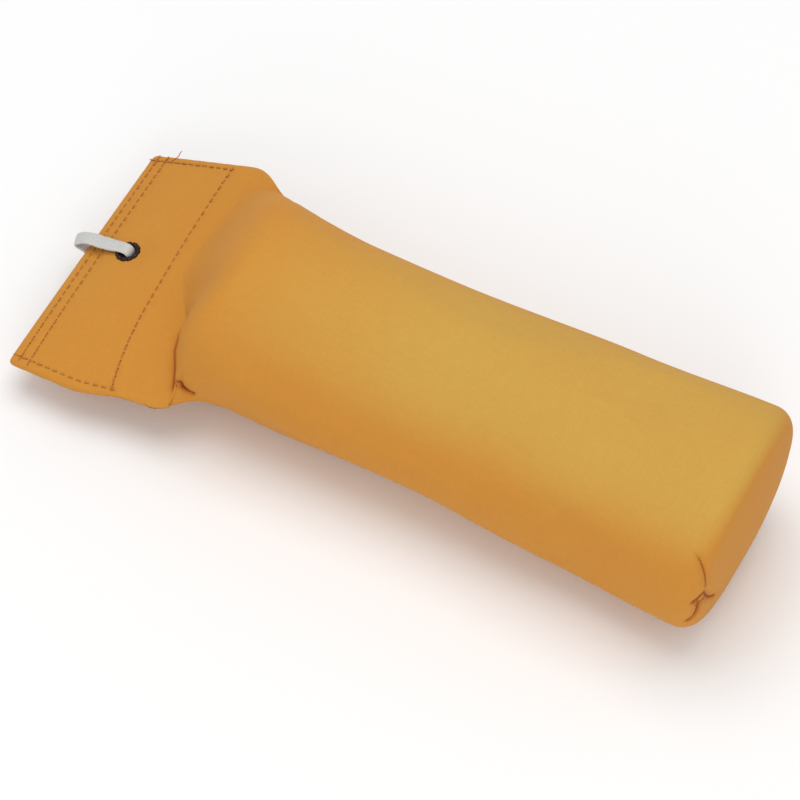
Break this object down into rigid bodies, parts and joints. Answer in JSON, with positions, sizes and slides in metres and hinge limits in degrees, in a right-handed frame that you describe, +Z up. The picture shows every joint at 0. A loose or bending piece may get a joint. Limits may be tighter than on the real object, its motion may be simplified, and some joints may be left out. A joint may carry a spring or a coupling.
{
  "type": "canvas training dummy",
  "caption": "Stuffed round canvas bag lying on its side, with a flat double-stitched header, a small metal eyelet and a woven tape loop.",
  "frame": {"origin": "on the resting surface, under the middle of the whole length and width", "axes": "+X along the bag from the loop to the base, +Z up from the resting surface, +Y across the bag"},
  "size_m": [0.2686, 0.104, 0.0725],
  "materials": {
    "canvas": "heavy plain-weave cotton canvas, golden orange",
    "thread": "twisted sewing thread, a shade darker than the canvas",
    "tape": "white woven cotton tape",
    "tape_thread": "white sewing thread",
    "eyelet_metal": "blackened metal, semi-matt",
    "liner_film": "milky film",
    "closure_tape": "brown adhesive tape",
    "filling": "packed fibre"
  },
  "bodies": {
    "bag": {"cover_shoulder": "canvas", "cover_tube": "canvas", "base_panel": "canvas", "base_pleat_near": "canvas", "base_pleat_far": "canvas", "base_seam_stitches": "thread", "seam_allowance": "canvas", "seam_stitches": "thread", "inner_liner": "liner_film", "liner_closure_tape": "closure_tape", "filling": "filling"},
    "header": {"header_upper_ply": "canvas", "header_lower_ply": "canvas", "hem_stitches_outer": "thread", "hem_stitches_inner": "thread", "cross_stitches": "thread", "side_stitches_near": "thread", "side_stitches_far": "thread", "eyelet": "eyelet_metal", "eyelet_washer": "eyelet_metal"},
    "loop": {"loop_tape": "tape", "loop_overlap": "tape", "loop_bartack": "tape_thread"}
  },
  "joints": [
    {"name": "header_fold", "type": "hinge", "parent": "bag", "child": "header", "pos_m": [-0.08168, 0, 0.0293], "axis": [0, 1, 0], "range_deg": [-10, 75], "stiffness_Nm_per_rad": 0.05, "springref_deg": 1.72},
    {"name": "loop_swivel", "type": "hinge", "parent": "header", "child": "loop", "pos_m": [-0.11149, 0.0056, 0.02241], "axis": [-0.225, 0, 0.9744], "range_deg": [-24, 24]}
  ]
}
